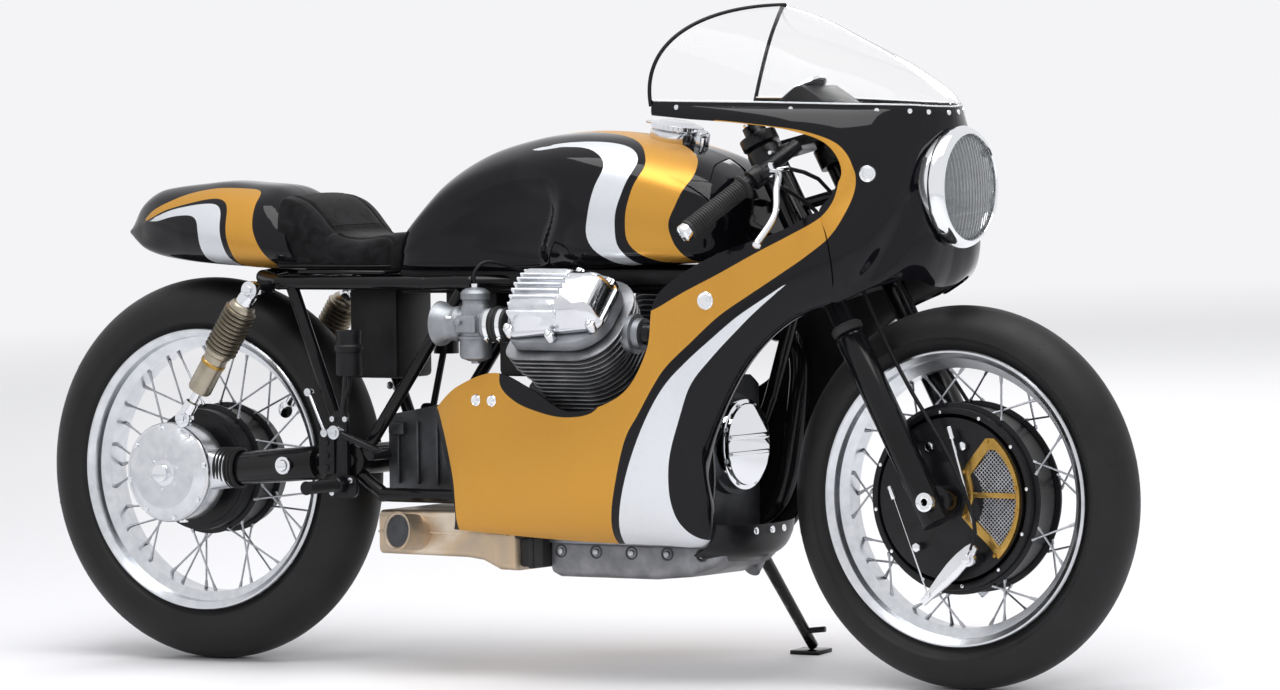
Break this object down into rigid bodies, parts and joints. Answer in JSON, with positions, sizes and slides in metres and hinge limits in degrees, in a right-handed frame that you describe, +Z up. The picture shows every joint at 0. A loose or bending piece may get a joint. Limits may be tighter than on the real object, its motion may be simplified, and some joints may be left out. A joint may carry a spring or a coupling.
{
  "type": "cafe racer motorcycle",
  "caption": "Cafe racer motorcycle with a full racing fairing, bubble screen, transverse V-twin engine, shaft drive and wire-spoked wheels, leaning on its side stand.",
  "frame": {"origin": "bottom centre of the overall box, on the floor", "axes": "+X forward, +Y to the rider's left, +Z up; the machine leans 3.5 degrees to +Y on its side stand"},
  "size_m": [2.148, 0.6193, 1.1256],
  "materials": {
    "black_frame": "gloss black enamel",
    "black_steel": "satin black enamel",
    "black_alloy": "satin black painted casting",
    "cast_alloy": "bead-blasted casting",
    "polished_alloy": "polished",
    "exhaust_steel": "heat-tinted",
    "black_gloss": "gloss lacquer with gold and silver stripes",
    "gold_paint": "satin gold lacquer with silver and black stripes",
    "seat_cloth": "black suede cloth",
    "clear_screen": "clear acrylic",
    "lamp_glass": "fluted glass",
    "chrome": "chrome plate",
    "black_plastic": "moulded",
    "shock_alloy": "bronze anodised",
    "axle_steel": "turned",
    "grip_rubber": "ribbed",
    "gold_brass": "gold plated",
    "cable_plastic": "sheathed",
    "tyre_rubber": "slick",
    "spoke_steel": "stainless"
  },
  "bodies": {
    "chassis": {"frame_main": "black_frame", "frame_cradle": "black_frame", "frame_rear": "black_frame", "engine_block": "cast_alloy", "alternator_cover": "polished_alloy", "sump": "cast_alloy", "cylinder_right": "cast_alloy", "cylinder_left": "cast_alloy", "rocker_covers": "polished_alloy", "carburettors": "polished_alloy", "exhaust_headers": "exhaust_steel", "exhaust_box": "exhaust_steel", "fuel_tank": "black_gloss", "tail_unit": "black_gloss", "seat_pad": "seat_cloth", "fairing_upper": "black_gloss", "fairing_right": "gold_paint", "fairing_left": "gold_paint", "windscreen": "clear_screen", "headlamp": "chrome", "headlamp_lens": "lamp_glass", "instrument_pod": "black_plastic", "swingarm": "black_frame", "final_drive": "polished_alloy", "shock_absorbers": "shock_alloy", "rearsets": "polished_alloy", "footpegs": "polished_alloy", "rear_axle": "axle_steel"},
    "steering": {"fork_yokes": "black_alloy", "fork_legs": "black_steel", "clip_ons": "black_alloy", "grips": "grip_rubber", "hand_levers": "polished_alloy", "brake_plates": "black_alloy", "brake_scoops": "gold_brass", "brake_cables": "cable_plastic", "front_axle": "axle_steel"},
    "front_wheel": {"front_tyre": "tyre_rubber", "front_rim": "polished_alloy", "front_spokes": "spoke_steel", "front_hub": "black_alloy"},
    "rear_wheel": {"rear_tyre": "tyre_rubber", "rear_rim": "polished_alloy", "rear_spokes": "spoke_steel", "rear_hub": "black_alloy"},
    "side_stand": {"side_stand": "black_steel"},
    "filler_lid": {"filler_lid": "chrome"}
  },
  "joints": [
    {"name": "steering", "type": "hinge", "parent": "chassis", "child": "steering", "pos_m": [0.69683, -0.02167, 0.28341], "axis": [-0.4695, 0.0539, 0.8813], "range_deg": [-18, 18]},
    {"name": "front_wheel_spin", "type": "hinge", "parent": "steering", "child": "front_wheel", "pos_m": [0.75775, -0.0197, 0.31574], "axis": [0, 0.9981, -0.061], "continuous": true},
    {"name": "rear_wheel_spin", "type": "hinge", "parent": "chassis", "child": "rear_wheel", "pos_m": [-0.74225, -0.01875, 0.33121], "axis": [0, 0.9981, -0.061], "continuous": true},
    {"name": "side_stand_fold", "type": "hinge", "parent": "chassis", "child": "side_stand", "pos_m": [0.28775, 0.09335, 0.19842], "axis": [0, 0.7536, 0.6573], "range_deg": [0, 80]},
    {"name": "filler_lid_hinge", "type": "hinge", "parent": "chassis", "child": "filler_lid", "pos_m": [0.2561, 0.01666, 0.91014], "axis": [0, 0.9981, -0.061], "range_deg": [0, 85]}
  ]
}
